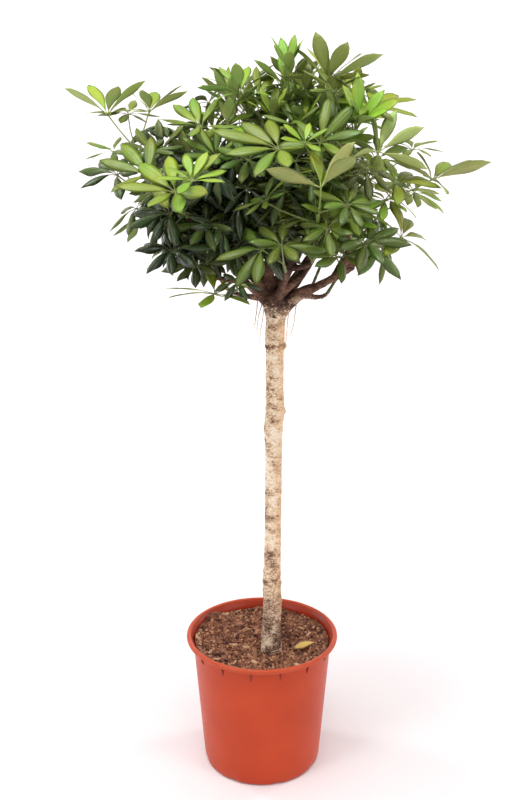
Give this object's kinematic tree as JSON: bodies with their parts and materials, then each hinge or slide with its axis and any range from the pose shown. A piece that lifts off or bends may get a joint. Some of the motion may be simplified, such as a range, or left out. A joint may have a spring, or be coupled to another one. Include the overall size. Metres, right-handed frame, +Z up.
{
  "type": "potted umbrella plant",
  "caption": "Umbrella plant trained as a standard tree: bare straight trunk, rounded crown of palmate leaves, in a round plastic nursery pot with soil.",
  "frame": {"origin": "middle of the pot's flat underside, on the surface it stands on", "axes": "+Z up along the pot's axis; the side that the picture shows faces -Y, and +X is to its right"},
  "size_m": [0.8057, 0.7184, 1.5802],
  "materials": {
    "pot_plastic": "terracotta-coloured moulded polypropylene, satin",
    "soil": "brown peat potting mix with bark chips, dull",
    "bark": "thin cream and brown mottled bark, matt",
    "leaf_young": "young yellow-green leaf, soft gloss",
    "leaf_grown": "grown mid-green leaf, glossy",
    "leaf_old": "old dark green leaf, glossy",
    "dead_leaflet": "dry yellow-brown leaflet, matt"
  },
  "bodies": {
    "root": {"pot": "pot_plastic", "soil": "soil", "trunk": "bark", "fallen_leaflet": "dead_leaflet", "shoot_centre_bright": "leaf_young", "shoot_centre_low": "leaf_grown", "shoot_centre_mid": "leaf_grown", "shoot_crown_left": "leaf_young", "shoot_crown_mid": "leaf_young", "shoot_crown_right": "leaf_young", "shoot_crown_top": "leaf_young", "shoot_far_right": "leaf_young", "shoot_front_dark": "leaf_grown", "shoot_front_pale": "leaf_young", "shoot_left_bright": "leaf_young", "shoot_left_claw": "leaf_old", "shoot_left_crown": "leaf_young", "shoot_left_glossy": "leaf_old", "shoot_left_green": "leaf_young", "shoot_left_knot": "leaf_old", "shoot_left_out": "leaf_old", "shoot_left_top": "leaf_young", "shoot_low_left": "leaf_young", "shoot_right_low": "leaf_grown", "shoot_right_pale": "leaf_young", "shoot_ring_01": "leaf_old", "shoot_ring_02": "leaf_old", "shoot_ring_03": "leaf_old", "shoot_ring_04": "leaf_old", "shoot_ring_05": "leaf_old", "shoot_ring_06": "leaf_grown", "shoot_ring_07": "leaf_grown", "shoot_ring_08": "leaf_grown", "shoot_ring_09": "leaf_grown", "shoot_ring_10": "leaf_grown", "shoot_ring_11": "leaf_grown", "shoot_ring_12": "leaf_young", "shoot_ring_13": "leaf_young", "shoot_ring_14": "leaf_young", "shoot_ring_15": "leaf_young", "shoot_ring_16": "leaf_grown", "shoot_ring_17": "leaf_young", "shoot_ring_18": "leaf_young", "shoot_ring_19": "leaf_young", "shoot_ring_20": "leaf_old", "shoot_ring_21": "leaf_old", "shoot_ring_22": "leaf_old", "shoot_ring_23": "leaf_old", "shoot_ring_24": "leaf_old", "shoot_ring_25": "leaf_old"}
  },
  "joints": []
}
